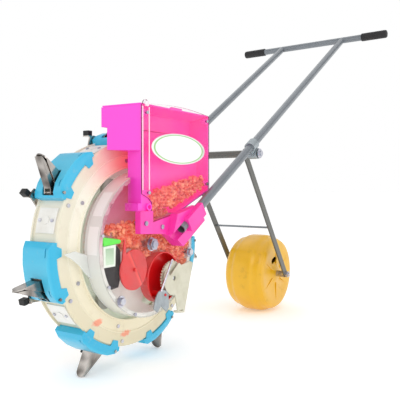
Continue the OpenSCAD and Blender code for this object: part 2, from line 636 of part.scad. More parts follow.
module far_bracket() color("deeppink") at_axle() difference() {
    union() {
        side_block(1);
        flat(hop_side - 1, hop_side + 5, [[-17, 2], [-12, 13], [0, 17], [30, 14], [65, 8], [90, -20],
            [43, -60],
            [20, -44], [-12, -12]]);
        rod_y(axle_r + 6, skin_y + 14.5, hop_side);
    }
    rod_y(axle_r + seat, skin_y, hop_side + 20);
    on_tube(-90) translate([0, tube_y, 0]) cylinder(r = tube_r + seat, h = 400);
}

module axle() color("silver") at_axle() rod_y(axle_r, disc_y - 12, hop_side + 18);
module hex_nut(r, y0, y1) translate([0, y1, 0]) rotate([90, 0, 0]) cylinder(r = r, h = y1 - y0, $fn = 6);
module axle_nuts() color("silver") at_axle() {
    difference() {
        union() {
            hex_nut(13.5, disc_y - 10, disc_y - 2);
            rod_y(15, disc_y - 2, disc_y - 0.05);
            hex_nut(13.5, hop_side + 5.1, hop_side + 14);
        }
        rod_y(axle_r + run, disc_y - 20, hop_side + 30);
    }
    difference() {
        put([wheel_x, wheel_r - axle_z]) for (s = [-1, 1]) {
            hex_nut(10, s < 0 ? -leg_y - leg_t - 7 : leg_y + leg_t + 0.1,
                s < 0 ? -leg_y - leg_t - 0.1 : leg_y + leg_t + 7);
        }
        put([wheel_x, wheel_r - axle_z]) rod_y(wheel_axle_r + run, -leg_y - 40, leg_y + 40);
    }
}

module handle_tubes() color("slategray") at_axle() for (s = [-1, 1]) difference() {
    on_tube(0) translate([0, s * tube_y, 0]) cylinder(r = tube_r, h = handle_len);
    on_tube(0) translate([0, s * tube_y, -1]) cylinder(r = tube_r - tube_t, h = tube_bore + 1);
    put(bar) rod_y(tube_r + seat, -handle_gap, handle_gap);
}
module crossbar() color("slategray") at_axle() put(bar)
    tube_y_shape(tube_r, tube_r - tube_t, -bar_len / 2 + 4, bar_len / 2 - 4);
module grips() color("black") at_axle() put(bar) for (s = [-1, 1])
    rotate([0, 0, s < 0 ? 0 : 180]) difference() {
    revolve([[0, -bar_len / 2], [grip_r - 5, -bar_len / 2], [grip_r - 1.5, -bar_len / 2 + 1.5],
        [grip_r, -bar_len / 2 + 5], [grip_r, -bar_len / 2 + grip_len - 1],
        [grip_r - 1, -bar_len / 2 + grip_len],
        [0, -bar_len / 2 + grip_len]]);
    rod_y(tube_r + seat, -bar_len / 2 + 3.9, 0);
}

// ---------------------------------------------------------------- fork and press wheel
module fork_clamps() color("lightsteelblue") at_axle() for (s = [-1, 1]) difference() {
    union() {
        on_tube(fork_seat) translate([0, s * tube_y, -14]) cylinder(r = tube_r + 4.5, h = 28);
        put(cross) rod_y(fork_r + 4.5, s * tube_y - 14, s * tube_y + 14);
    }
    on_tube(0) translate([0, s * tube_y, 0]) cylinder(r = tube_r + seat, h = handle_len);
    put(cross) rod_y(fork_r + seat, -handle_gap, handle_gap);
}
module fork_tube() color("dimgray") at_axle() put(cross)
    tube_y_shape(fork_r, fork_r - 2, -tube_y - 17, tube_y + 17);
module clamp_bolts() color("silver") at_axle() put(cross) for (s = [0, 180]) rotate([0, 0, s]) {
    rod_y(fork_r + 3, -tube_y - 19, -tube_y - 17.05);
    hex_nut(8, -tube_y - 24, -tube_y - 19);
    rod_y(fork_r - 2 - seat, -tube_y - 18, -tube_y + 2);
}
module fork_legs() color("darkslategray") at_axle() for (y = [-leg_y - leg_t, leg_y]) difference() {
    put(cross) rotate([0, leg_a, 0]) union() {
        rod_y(fork_r + 5, y, y + leg_t);
        translate([0, y, -leg_w / 2]) cube([leg_run, leg_t, leg_w]);
        put([leg_run, 0]) rod_y(leg_w / 2, y, y + leg_t);
    }
    put(cross) rod_y(fork_r + seat, y - 1, y + leg_t + 1);
    put([wheel_x, wheel_r - axle_z]) rod_y(wheel_axle_r + seat, y - 1, y + leg_t + 1);
}
module brace_rod() color("gray") at_axle() put(cross + brace_at * leg_run * [cos(leg_a), -sin(leg_a)])
    rod_y(3, -leg_y + 0.05, leg_y - 0.05);
module wheel_axle() color("silver") at_axle() put([wheel_x, wheel_r - axle_z]) {
    rod_y(wheel_axle_r, -leg_y - leg_t - 12, leg_y + leg_t + 12);
    for (s = [-1, 1]) rod_y(wheel_axle_r + 4, s < 0 ? -leg_y + 0.1 : wheel_w / 2 + apart,
        s < 0 ? -wheel_w / 2 - apart : leg_y - 0.1);
}

// The wheel's profile from its rim to its hub, one half, with a raised middle band
function wheel_half(in) = let (w = wheel_w / 2, r = wheel_r - in) [
    [r, 0], [r, 22 - in / 2], [r - 2, 30 - in / 2],
    [r - 7, 37 - in / 2], [r - 8, 43 - in / 2], [r - 10, w - 13 - in / 2],
    [r - 16, w - 4 - in], [r - 24, w - 1 - in],
    [r - 40, w - 3 - in], [34, w - 6 - in], [26, w - 3 - in], [16, w - in]];
function mirrored(half) = [for (i = [len(half) - 1:-1:1]) [half[i][0], -half[i][1]]];
module press_wheel() color("goldenrod") at_axle() put([wheel_x, wheel_r - axle_z]) difference() {
    union() {
        revolve(concat(mirrored(wheel_half(0)), wheel_half(0), [[0, wheel_w / 2], [0, -wheel_w / 2]]));
        for (s = [-1, 1], k = [0:5]) rotate([0, 60 * k + 30, 0])
            translate([28, s * (wheel_w / 2 - 4.5) - 2, -1.5])
            cube([wheel_r - 62, 4, 3]);
    }
    revolve(concat(mirrored(wheel_half(4)), wheel_half(4)));
    for (a = [-12:6:12]) rotate([0, a, 0]) put([-12, 44]) rod_y(9, -wheel_w, 0);
    rod_y(wheel_axle_r + run, -wheel_w, wheel_w);
}

drum_shell();
near_cover();
far_disc();
drum_hub();
ring_gear();
bill_housings();
fixed_bills();
tread_plates();
drum_screws();
moving_bill(1);  // moving_bill_1
moving_bill(2);  // moving_bill_2
moving_bill(3);  // moving_bill_3
moving_bill(4);  // moving_bill_4
moving_bill(5);  // moving_bill_5
moving_bill(6);  // moving_bill_6
moving_bill(7);  // moving_bill_7
bill_pad(1);  // bill_pad_1
bill_pad(2);  // bill_pad_2
bill_pad(3);  // bill_pad_3
bill_pad(4);  // bill_pad_4
bill_pad(5);  // bill_pad_5
bill_pad(6);  // bill_pad_6
bill_pad(7);  // bill_pad_7
axle();
axle_nuts();
chamber_disc();
chamber_casing();
ring_guard();
guide_roller(1);  // guide_roller_1
guide_roller(2);  // guide_roller_2
guide_roller(3);  // guide_roller_3
roller_bolts();
metering_shaft();
metering_roller();
drive_pinion();
adjusting_gear();
gear_cover();
gear_recess();
gate_disc();
brush_box();
brush();
sight_tab();
knocker_lever();
knocker_rod();
hopper_body();
hopper_cover();
hopper_lid();
cover_screws();
near_bracket();
far_bracket();
handle_tubes();
crossbar();
grips();
fork_clamps();
clamp_bolts();
fork_tube();
fork_legs();
brace_rod();
wheel_axle();
press_wheel();
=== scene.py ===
import json
import math

import bmesh
import bpy
import numpy as np
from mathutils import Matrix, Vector

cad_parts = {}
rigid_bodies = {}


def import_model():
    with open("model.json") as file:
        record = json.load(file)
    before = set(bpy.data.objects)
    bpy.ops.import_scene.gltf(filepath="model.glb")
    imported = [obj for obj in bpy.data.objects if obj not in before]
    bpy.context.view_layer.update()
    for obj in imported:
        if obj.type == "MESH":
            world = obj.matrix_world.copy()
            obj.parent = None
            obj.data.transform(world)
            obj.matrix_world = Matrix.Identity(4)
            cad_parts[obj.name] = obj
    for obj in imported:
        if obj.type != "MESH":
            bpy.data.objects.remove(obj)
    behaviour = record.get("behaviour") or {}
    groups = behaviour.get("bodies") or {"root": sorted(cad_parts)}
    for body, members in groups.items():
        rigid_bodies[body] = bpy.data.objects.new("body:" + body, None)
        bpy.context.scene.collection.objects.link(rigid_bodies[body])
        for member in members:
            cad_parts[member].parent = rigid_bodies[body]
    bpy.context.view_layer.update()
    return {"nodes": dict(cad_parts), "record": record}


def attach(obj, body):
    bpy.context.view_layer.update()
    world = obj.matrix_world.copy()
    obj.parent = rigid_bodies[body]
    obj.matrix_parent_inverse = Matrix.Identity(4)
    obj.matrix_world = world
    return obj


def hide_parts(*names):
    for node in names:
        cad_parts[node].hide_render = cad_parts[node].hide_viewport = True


for leftover in list(bpy.data.objects):
    bpy.data.objects.remove(leftover)

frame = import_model()
nodes = frame["nodes"]
print("frame loaded:", len(nodes), "parts")

axleX = -0.405783  # the drum's axle, which most places below are counted from
axleZ = 0.270942
backPlate = -0.047  # front face of the chamber's back plate
clearDisc = -0.083  # back face of its clear disc
hopperFront = -0.102  # front edge of the hopper's walls
coverFront = -0.105  # outside of its clear cover
softEdge = 0.0005  # how far a painted field's edge takes to fade


class wire:
    # one output of a node; signs between wires and numbers add Math nodes
    def __init__(self, net, socket):
        self.net = net
        self.socket = socket

    def __add__(self, other):
        return self.net.maths("ADD", self, other)

    def __radd__(self, other):
        return self.net.maths("ADD", other, self)

    def __sub__(self, other):
        return self.net.maths("SUBTRACT", self, other)

    def __rsub__(self, other):
        return self.net.maths("SUBTRACT", other, self)

    def __mul__(self, other):
        return self.net.maths("MULTIPLY", self, other)

    def __rmul__(self, other):
        return self.net.maths("MULTIPLY", other, self)

    def __truediv__(self, other):
        return self.net.maths("DIVIDE", self, other)

    def __pow__(self, other):
        return self.net.maths("POWER", self, other)


class nodeNet:
    # a node tree, and the one method that adds nodes to it
    def __init__(self, tree):
        self.tree = tree

    def add(self, kind, settings=None, out=0, **sockets):
        # a socket is given by its name, or as i and its number; a ramp's stops are (place, grey)
        made = self.tree.nodes.new(kind)
        for key, value in (settings or {}).items():
            if key == "stops":
                self.setStops(made.color_ramp.elements, value)
            else:
                setattr(made, key, value)
        for key, value in sockets.items():
            name = int(key[1:]) if key[0] == "i" and key[1:].isdigit() else key.replace("_", " ")
            self.feed(made.inputs[name], value)
        return wire(self, made.outputs[out])

    def setStops(self, elements, stops):
        while len(elements) < len(stops):
            elements.new(0.5)
        for element, (place, grey) in zip(elements, stops):
            element.position = place
            element.color = (grey, grey, grey, 1)

    def feed(self, socket, value):
        if isinstance(value, wire):
            self.tree.links.new(value.socket, socket)
        else:
            socket.default_value = value

    def maths(self, operation, a, b=0.0, clamp=False):
        return self.add("ShaderNodeMath", {"operation": operation, "use_clamp": clamp}, i0=a, i1=b)


class finish(nodeNet):
    # a material with one Principled shader, and the nodes that feed it
    def __init__(self, name, colour, **fixed):
        self.material = bpy.data.materials.new(name)
        self.material.use_nodes = True
        super().__init__(self.material.node_tree)
        self.tree.nodes.clear()
        output = self.tree.nodes.new("ShaderNodeOutputMaterial")
        self.shader = self.tree.nodes.new("ShaderNodeBsdfPrincipled")
        self.tree.links.new(self.shader.outputs[0], output.inputs[0])
        self.shader.inputs["Base Color"].default_value = colour
        for socket, value in fixed.items():
            self.shader.inputs[socket.replace("_", " ")].default_value = value
        self.place = self.add("ShaderNodeTexCoord", out="Object")

    def mix(self, amount, first, second, blend="MIX"):
        return self.add("ShaderNodeMix", {"data_type": "RGBA", "blend_type": blend}, out=2,
                        i0=amount, i6=first, i7=second)

    def noise(self, scale, detail=3.0, rough=0.5, stretch=None):
        where = self.place
        if stretch:
            where = self.add("ShaderNodeVectorMath", {"operation": "MULTIPLY"}, i0=where, i1=stretch)
        return self.add("ShaderNodeTexNoise", Vector=where, Scale=scale, Detail=detail, Roughness=rough)

    def step(self, value, low, high):
        # 0 below low, 1 above high, and straight between; low may be above high
        return self.add("ShaderNodeMapRange", {"clamp": True}, Value=value, From_Min=low, From_Max=high)

    def axes(self):
        # the three coordinates of a point, counted from the drum's axle
        split = self.add("ShaderNodeSeparateXYZ", Vector=self.place).socket.node
        x, y, z = (wire(self, output) for output in split.outputs)
        return x - axleX, y, z - axleZ

    def radius(self):
        x, _, z = self.axes()
        return (x * x + z * z) ** 0.5

    def within(self, value, low, high):
        # 1 between two limits, with soft edges
        return self.step(value, low, low + softEdge) * self.step(value, high, high - softEdge)

    def spot(self, across, up, place, halfLength, halfHeight):
        # 0 at a place on the drum's face, 1 on an ellipse round it, and more outside
        run = (across - place[0]) / halfLength
        rise = (up - place[1]) / halfHeight
        return (run * run + rise * rise) ** 0.5

    def facing(self):
        # how much the surface looks to the near or the far side, from 0 to 1
        normal = wire(self, self.place.socket.node.outputs["Normal"])
        return self.maths("ABSOLUTE", self.add("ShaderNodeSeparateXYZ", out="Y", Vector=normal))

    def glow(self, colour):
        # painted light: the surface glows with this colour though it is no lamp, standing for light that
        # thin plastic lets through and lifting shade; scaled by the shader's emission strength
        self.feed(self.shader.inputs["Emission Color"], colour)
        return self

    def paint(self, colour):
        self.painted = colour
        self.feed(self.shader.inputs["Base Color"], colour)
        return self

    def roughen(self, value):
        self.feed(self.shader.inputs["Roughness"], value)
        return self

    def bump(self, height, strength=0.2, distance=0.0005):
        normal = self.add("ShaderNodeBump", Height=height, Strength=strength, Distance=distance)
        self.feed(self.shader.inputs["Normal"], normal)
        return self


def tone(red, green, blue, alpha=1.0):
    # a colour as it looks on a screen, from 0 to 255, to a shader's own scale
    def channel(v):
        v /= 255
        return v / 12.92 if v <= 0.04045 else ((v + 0.055) / 1.055) ** 2.4
    return (channel(red), channel(green), channel(blue), alpha)


def moulded(name, colour, dirt, amount=0.35, rough=0.32, coat=0.25, grain=900, **fixed):
    # moulded plastic: a fine grain, cloudy gloss, and a film of dust that comes and goes
    f = finish(name, colour, Coat_Weight=coat, Coat_Roughness=0.12, **fixed)
    cloud = f.noise(9, 4)
    patch = f.step(f.noise(28, 5, 0.6), 0.42, 0.72) * amount
    speck = f.step(f.noise(420, 2), 0.66, 0.74) * 0.25
    shade = f.mix(patch + speck * amount, colour, dirt)
    f.paint(f.mix(cloud * 0.16, shade, (1, 1, 1, 1), "SOFT_LIGHT"))
    f.roughen(rough + cloud * 0.18 + patch * 0.2)
    f.bump(f.noise(grain, 2) + f.noise(60, 2) * 0.6, 0.12, 0.0004)
    return f


def steel(name, colour, dark, rough=0.28, stretch=(1, 1, 1), metal=1.0, amount=0.5, patch=34,
          detail=5):
    # drawn or ground steel: streaks one way, and darker patches, which are handled smudges on most steels
    # and painted dark reflections on the polished bills
    f = finish(name, colour, Metallic=metal)
    streak = f.noise(260, 3, 0.6, stretch)
    # darker patches: smudges, and on the bills painted reflection
    smudgeAndReflection = f.step(f.noise(patch, detail, 0.65), 0.4, 0.75)
    f.paint(f.mix(smudgeAndReflection * amount + streak * 0.18, colour, dark))
    f.roughen(rough + streak * 0.14 + smudgeAndReflection * 0.16)
    f.bump(streak, 0.1, 0.0003)
    return f


def painted(name, colour, worn, rough=0.3):
    # sprayed paint: orange peel, small scuffs down to a lighter layer
    f = finish(name, colour, Coat_Weight=0.4, Coat_Roughness=0.15, Metallic=0.35)
    scuff = f.step(f.noise(120, 6, 0.7), 0.62, 0.7) * 0.45
    f.paint(f.mix(scuff, f.mix(f.noise(14, 3) * 0.5, colour, worn), worn))
    f.roughen(rough + scuff * 0.3 + f.noise(40, 2) * 0.1)
    f.bump(f.noise(500, 2) + scuff, 0.12, 0.0003)
    return f


print("making materials")
white = (1, 1, 1, 1)
finishes = {}

# drum plastics go from cream near the top to beige low down, and their dust is soil-coloured
drumTones = {"top": tone(244, 240, 228), "low": tone(226, 214, 180), "soil": tone(176, 156, 116),
             "pinkBounceTint": tone(246, 146, 136), "seedStain": tone(244, 122, 84), "rib": tone(206, 194, 156)}
drumFields = {"ribs": (0.196, 0.2), "thin": (0.2, 0.19),  # radii of the rim and of the part with painted glow
              "fall": (0.16, -0.2), "pinkBounceAcross": (-0.15, -0.03), "pinkBounceUp": (0.1, 0.17)}
stains = [(-0.116, -0.155, 0.017, 0.008), (-0.030, -0.195, 0.018, 0.007)]  # across, up, half sizes


def drumPlastic(name, top, low, pinkBounceShare=0.0):
    # thin moulded plastic, cream above and beige low down; on the cover, pink light bounced from the hopper
    # is painted onto the upper face near it
    f = finish(name, top, Coat_Weight=0.5, Coat_Roughness=0.1, Emission_Strength=0.12)
    x, _, z = f.axes()
    fall = f.step(z + f.noise(7, 3) * 0.12, *drumFields["fall"])
    dust = f.step(f.noise(46, 5, 0.65), 0.55, 0.78) * 0.22
    shade = f.mix(dust, f.mix(fall, top, low), drumTones["soil"])
    ribs = f.step(f.radius(), *drumFields["ribs"]) * 0.25
    shade = f.mix(ribs, shade, drumTones["rib"])
    if pinkBounceShare:
        # painted light: pink bounce from the hopper on the upper face near it; the seed stains below are
        # real stains
        pinkBounce = f.step(x + f.noise(20, 3) * 0.05, *drumFields["pinkBounceAcross"])
        pinkBounce = pinkBounce * f.step(z, *drumFields["pinkBounceUp"]) * pinkBounceShare
        shade = f.mix(pinkBounce, shade, drumTones["pinkBounceTint"])
        for across, up, halfLength, halfHeight in stains:
            reach = f.spot(x, z, (across, up), halfLength, halfHeight) + f.noise(150, 2) * 1.2
            shade = f.mix(f.step(reach, 1.6, 1.2) * 0.75, shade, drumTones["seedStain"])
    f.paint(shade)
    # painted light: inside the rim the plastic glows with its own colour, the rim only dimly, lightening
    # the shade in the gaps
    f.glow(f.mix(f.step(f.radius(), *drumFields["thin"]), (0.25, 0.24, 0.2, 1), shade))
    f.roughen(0.24 + dust * 0.5 + f.noise(12, 2) * 0.12)
    f.bump(f.noise(700, 2) + f.noise(50, 3) * 0.7, 0.14, 0.0004)
    return f


finishes["cream_plastic"] = drumPlastic("creamPlastic", drumTones["top"], drumTones["low"])
finishes["cover_plastic"] = drumPlastic("coverPlastic", tone(240, 236, 220), tone(224, 212, 176), 0.85)


def housingPlastic():
    # blue, paler where the outer corners are rubbed
    blue = {"base": tone(48, 188, 226), "deep": tone(24, 166, 212), "rubbed": tone(110, 212, 238),
            "dust": tone(170, 190, 190), "rub": (0.240, 0.2465)}  # rub: radii where it starts and is full
    f = finish("housingPlastic", blue["base"], Coat_Weight=0.3, Coat_Roughness=0.15)
    edge = f.step(f.radius(), *blue["rub"]) * 0.35
    cloud = f.noise(11, 4)
    dust = f.step(f.noise(60, 5, 0.65), 0.6, 0.8) * 0.3
    shade = f.mix(edge, f.mix(cloud * 0.5, blue["base"], blue["deep"]), blue["rubbed"])
    f.paint(f.mix(dust, shade, blue["dust"]))
    f.roughen(0.34 + dust * 0.4 + cloud * 0.12)
    f.bump(f.noise(800, 2) + f.noise(70, 2) * 0.5, 0.14, 0.0004)
    return f


finishes["blue_plastic"] = housingPlastic()
finishes["plate_plastic"] = moulded("platePlastic", tone(238, 236, 230), tone(196, 190, 172), 0.3)
# the bills' polished steel: its large dark patches are painted reflection of dark surroundings, not smudges
finishes["bill_steel"] = steel("billSteel", tone(200, 194, 188), tone(54, 46, 42), 0.06,
                               (1, 0.2, 0.3), 1.0, 0.9, 26, 1)
finishes["zinc_steel"] = steel("zincSteel", tone(216, 216, 222), tone(78, 80, 128), 0.12,
                               (1, 1, 0.3), 1.0, 0.55)
finishes["dark_steel"] = steel("darkSteel", tone(96, 96, 96), tone(40, 40, 40), 0.35)
finishes["clamp_zinc"] = steel("clampZinc", tone(180, 188, 192), tone(110, 118, 124), 0.34,
                               (1, 1, 1), 0.85)


# the gate disc: its middle and radius, the rib's line and the bands across it for the rib's painted
# highlight and painted shadow, the circle that the lever sweeps, and how far back the seeds lie inside that
# circle
gate = {"across": -0.0526, "up": -0.050, "reach": 0.043, "lean": (0.877, 0.481), "rib": 0.0036,
        "bright": (-0.0036, 0.0034), "shaded": (0.0032, 0.0054), "swing": 0.082, "behind": -0.0680}


def redPlastic():
    # clear red; the gate disc's raised rib is only painted: a bright band, a painted highlight, with a dark
    # edge, a painted shadow
    red = {"base": tone(230, 14, 20), "deep": tone(150, 4, 12), "bright": tone(255, 76, 62)}
    f = moulded("redPlastic", red["base"], tone(178, 12, 20), 0.4, 0.26, 0.5)
    x, _, z = f.axes()
    onGate = f.step(f.spot(x, z, (gate["across"], gate["up"]), gate["reach"], gate["reach"]), 1.0, 0.98)
    offset = (x - gate["across"]) * gate["lean"][0] + (z - gate["up"]) * gate["lean"][1] - gate["rib"]
    # painted shadow beside the rib, then a painted highlight along it
    shaded = f.mix(f.within(offset, *gate["shaded"]) * onGate * 0.8, f.painted, red["deep"])
    return f.paint(f.mix(f.within(offset, *gate["bright"]) * onGate * 0.75, shaded, red["bright"]))


finishes["red_plastic"] = redPlastic()
finishes["gear_plastic"] = moulded("gearPlastic", tone(212, 210, 188), tone(160, 156, 124), 0.4, 0.34)
finishes["green_plastic"] = moulded("greenPlastic", tone(92, 246, 62), tone(50, 190, 40), 0.3, 0.3,
                                    0.3)


def whitePlastic():
    # white, glowing a little as painted light to lift the shade where it lines gaps; the front of the brush
    # box is a pale green window, darker towards the top as painted shade of the box's inside
    pane = {"across": (-0.1385, -0.1145), "up": (-0.0310, 0.0020), "front": (-0.073, -0.074),
            "fade": (-0.030, 0.001), "pale": tone(196, 222, 190), "deep": tone(140, 180, 138)}
    f = moulded("whitePlastic", tone(232, 238, 226), tone(178, 208, 172), 0.4, 0.28, 0.3,
                Emission_Strength=0.12)
    x, y, z = f.axes()
    window = f.within(x, *pane["across"]) * f.within(z, *pane["up"]) * f.step(y, *pane["front"])
    green = f.mix(f.step(z, *pane["fade"]), pane["pale"], pane["deep"])
    shade = f.mix(window * 0.8, f.painted, green)
    # painted light: the plastic glows with its own colour
    f.glow(shade)
    return f.paint(shade)


finishes["white_plastic"] = whitePlastic()
finishes["roller_plastic"] = moulded("rollerPlastic", tone(150, 150, 140), tone(90, 90, 84), 0.4, 0.45,
                                     0.0)
finishes["black_rubber"] = moulded("blackRubber", tone(20, 20, 22), tone(48, 45, 42), 0.3, 0.5,
                                   0.05, 600)
finishes["tube_paint"] = painted("tubePaint", tone(112, 118, 124), tone(150, 156, 162), 0.26)
finishes["leg_paint"] = painted("legPaint", tone(84, 86, 86), tone(122, 118, 102), 0.32)
finishes["bracket_pink"] = moulded("bracketPink", tone(255, 58, 176), tone(226, 34, 140), 0.35, 0.28,
                                   0.4)


def hopperPlastic():
    # bright pink, a little more violet in front; inside, a painted glow stands for light that comes through
    # the thin walls
    pink = {"front": tone(252, 72, 214), "inside": tone(255, 60, 168), "fold": tone(232, 40, 168),
            "end": (-0.052, -0.049), "face": (-0.106, -0.1)}  # where the inside starts, across and in
    f = finish("hopperPlastic", pink["front"], Coat_Weight=0.3, Coat_Roughness=0.2, Emission_Strength=0.3)
    x, y, _ = f.axes()
    within = f.step(x, *pink["end"]) * f.step(y, *pink["face"])
    cloud = f.noise(8, 4)
    shade = f.mix(cloud * 0.22, f.mix(within, pink["front"], pink["inside"]), pink["fold"])
    f.paint(shade)
    # painted light: the inside glows with its own colour, the front only faintly
    f.glow(f.mix(within, (0.1, 0.008, 0.05, 1), shade))
    f.roughen(0.34 + cloud * 0.14)
    f.bump(f.noise(620, 2) + f.noise(36, 2) * 0.8, 0.12, 0.0004)
    return f


finishes["pink_plastic"] = hopperPlastic()


def clearPlastic(name, tint, film, edge, ribs=None):
    # clear sheet: nearly nothing face on, more at a glancing angle, with haze and fine scratches; its cut
    # edges are painted dark, a painted shade, and ribs that stand in front of its face are painted white, a
    # painted highlight
    f = finish(name, tint, Roughness=0.06, Coat_Weight=0.25, Coat_Roughness=0.03, Specular_IOR_Level=0.3)
    _, y, _ = f.axes()
    glance = f.add("ShaderNodeLayerWeight", out="Facing", Blend=0.5) ** 3
    haze = f.step(f.noise(22, 5, 0.6), 0.5, 0.85) * 0.05
    scratch = f.step(f.noise(90, 6, 0.8, (1, 1, 6)), 0.64, 0.68) * 0.08
    alpha = f.maths("ADD", glance * edge, haze + scratch + film, clamp=True)
    if ribs:
        # painted highlight: raised ribs are painted white and nearly opaque
        raised = f.step(y, ribs - 0.0003, ribs - 0.0006)
        # painted shade: cut edges that face sideways are painted dark
        cut = f.step(f.facing(), 0.6, 0.4) * f.step(y, ribs, ribs + 0.0004)
        f.paint(f.mix(raised * 0.9, f.mix(cut, tint, tone(96, 52, 76)), tone(250, 248, 250)))
        alpha = f.maths("ADD", alpha, raised * 0.75 + cut * 0.8, clamp=True)
    f.feed(f.shader.inputs["Alpha"], alpha)
    f.roughen(0.05 + haze * 1.5)
    f.bump(f.noise(18, 3), 0.15, 0.0008)
    return f


finishes["clear_plastic"] = clearPlastic("clearDiscPlastic", tone(240, 230, 230), 0.0, 0.5)
finishes["clear_pink"] = clearPlastic("clearHopperPlastic", tone(252, 180, 220), 0.02, 0.5, coverFront)


def casingPlastic():
    # milky outside, with painted pink light from the hopper on its upper part near it; inside, the upper
    # half glows crimson from the hopper and the seeds, and the inside glows brighter than the outside as
    # painted light
    milk = {"outside": tone(224, 227, 222), "pinkBounceTint": tone(240, 156, 156), "inside": tone(178, 30, 92),
            "low": tone(216, 214, 206), "veil": tone(206, 140, 160), "seam": tone(150, 148, 140),
            "pocket": tone(252, 252, 250)}
    wall = {"bore": (0.1556, 0.1552), "mouth": (-0.0865, -0.082),  # radius and depth of the inside
            "pockets": [(0.066, 0.122), (-0.010, 0.046)], "pocketDepth": (-0.078, -0.052),
            "pocketEnd": (-0.108, -0.112), "seams": [(-0.0835, -0.0822), (-0.0500, -0.0486)]}
    f = finish("casingPlastic", milk["outside"], Coat_Weight=0.5, Coat_Roughness=0.08,
               Emission_Strength=0.24)
    x, y, z = f.axes()
    inner = f.step(f.radius(), *wall["bore"]) * f.step(y, *wall["mouth"])
    high = f.step(z + f.noise(12, 3) * 0.03, -0.03, 0.05)
    # painted light: pink bounce from the hopper on the upper outside near it
    pinkBounce = f.step(z, 0.03, 0.16) * f.step(x, -0.16, -0.05)
    cloud = f.noise(13, 4)
    upper, lower = (f.within(z, *span) for span in wall["pockets"])
    pocket = f.step(x, *wall["pocketEnd"]) * (upper + lower) * f.within(y, *wall["pocketDepth"])
    near, far = (f.within(y, *span) for span in wall["seams"])
    outside = f.mix((near + far) * 0.45, f.mix(pinkBounce, milk["outside"], milk["pinkBounceTint"]), milk["seam"])
    outside = f.mix(pocket * 0.8, outside, milk["pocket"])
    crimson = f.mix(f.step(z + cloud * 0.03, 0.045, 0.13), milk["veil"], milk["inside"])
    inside = f.mix(high, milk["low"], crimson)
    shade = f.mix(cloud * 0.15, f.mix(inner, outside, inside), white)
    f.paint(shade)
    # painted light: the inside glows with its own colour, the outside dimly
    f.glow(f.mix(inner, (0.3, 0.3, 0.29, 1), shade))
    f.feed(f.shader.inputs["Alpha"], f.maths("ADD", inner * 0.3, 0.66 + cloud * 0.1, clamp=True))
    f.roughen(0.14 + cloud * 0.14)
    f.bump(f.noise(300, 2) + f.noise(40, 3), 0.12, 0.0004)
    return f


finishes["casing_plastic"] = casingPlastic()


def wheelPlastic():
    # deep yellow, darker in random clouds, and brown with soil dust in random patches
    yellow = {"base": tone(244, 190, 14), "deep": tone(216, 152, 2), "soil": tone(150, 106, 20)}
    f = finish("wheelPlastic", yellow["base"], Coat_Weight=0.35, Coat_Roughness=0.18)
    cloud = f.noise(10, 4)
    dust = f.step(f.noise(40, 6, 0.7), 0.58, 0.8) * 0.35
    f.paint(f.mix(dust, f.mix(cloud * 0.6, yellow["base"], yellow["deep"]), yellow["soil"]))
    f.roughen(0.3 + dust * 0.6 + cloud * 0.12)
    f.bump(f.noise(420, 2) + f.noise(30, 3), 0.16, 0.0006)
    return f


finishes["wheel_plastic"] = wheelPlastic()

slotOf = {row["node"]: row["material_slot"] for row in frame["record"]["subparts"]}


def dress(obj, slotName):
    obj.data.materials.clear()
    obj.data.materials.append(finishes[slotName].material)


for name, node in nodes.items():
    dress(node, slotOf[name])
print("dressed", len(nodes), "parts with", len(finishes), "finishes")


softened = {  # moulded and pressed part: width of its broken edges, in metres
    "bill_housings": 0.0013, "near_cover": 0.0007, "drum_shell": 0.0006, "tread_plates": 0.0006,
    "far_disc": 0.0007, "fixed_bills": 0.0007, "hopper_body": 0.0010, "hopper_lid": 0.0008,
    "near_bracket": 0.0011, "far_bracket": 0.0011, "gear_cover": 0.0006, "gear_recess": 0.0006,
    "gate_disc": 0.0008, "brush_box": 0.0008, "sight_tab": 0.0014, "brush": 0.0008,
    "knocker_lever": 0.0006, "ring_guard": 0.0005, "adjusting_gear": 0.0004, "fork_clamps": 0.0010,
    "fork_legs": 0.0006, "press_wheel": 0.0010, "chamber_casing": 0.0005, "grips": 0.0012,
}
softened.update({f"moving_bill_{k}": 0.0005 for k in range(1, 8)})
softened.update({f"bill_pad_{k}": 0.0012 for k in range(1, 8)})
bodyOf = {n: body for body, members in frame["record"]["behaviour"]["bodies"].items() for n in members}
rounded = {"merge": 2e-6, "flat": 0.6, "crease": 32, "sharp": 34, "segments": 2}  # angles in degrees


def breakEdges(name, width):
    # a merged copy with its flat faces joined and its sharp edges rounded stands for the part
    shape = bmesh.new()
    shape.from_mesh(nodes[name].data)
    bmesh.ops.remove_doubles(shape, verts=shape.verts, dist=rounded["merge"])
    bmesh.ops.dissolve_limit(shape, angle_limit=math.radians(rounded["flat"]), verts=shape.verts,
                             edges=shape.edges)
    for face in shape.faces:
        face.smooth = True
    crease = math.radians(rounded["crease"])
    for edge in shape.edges:
        edge.smooth = not (len(edge.link_faces) == 2 and edge.calc_face_angle(0) > crease)
    mesh = bpy.data.meshes.new(name + "_soft")
    shape.to_mesh(mesh)
    shape.free()
    obj = bpy.data.objects.new(name + "_soft", mesh)
    bpy.context.scene.collection.objects.link(obj)
    rounding = obj.modifiers.new("brokenEdges", "BEVEL")
    rounding.width = width
    rounding.segments = rounded["segments"]
    rounding.limit_method = "ANGLE"
    rounding.angle_limit = math.radians(rounded["sharp"])
    rounding.use_clamp_overlap = True
    rounding.harden_normals = True
    dress(obj, slotOf[name])
    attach(obj, bodyOf[name])
    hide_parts(name)


for name, width in softened.items():
    breakEdges(name, width)
print("broke the edges of", len(softened), "parts")


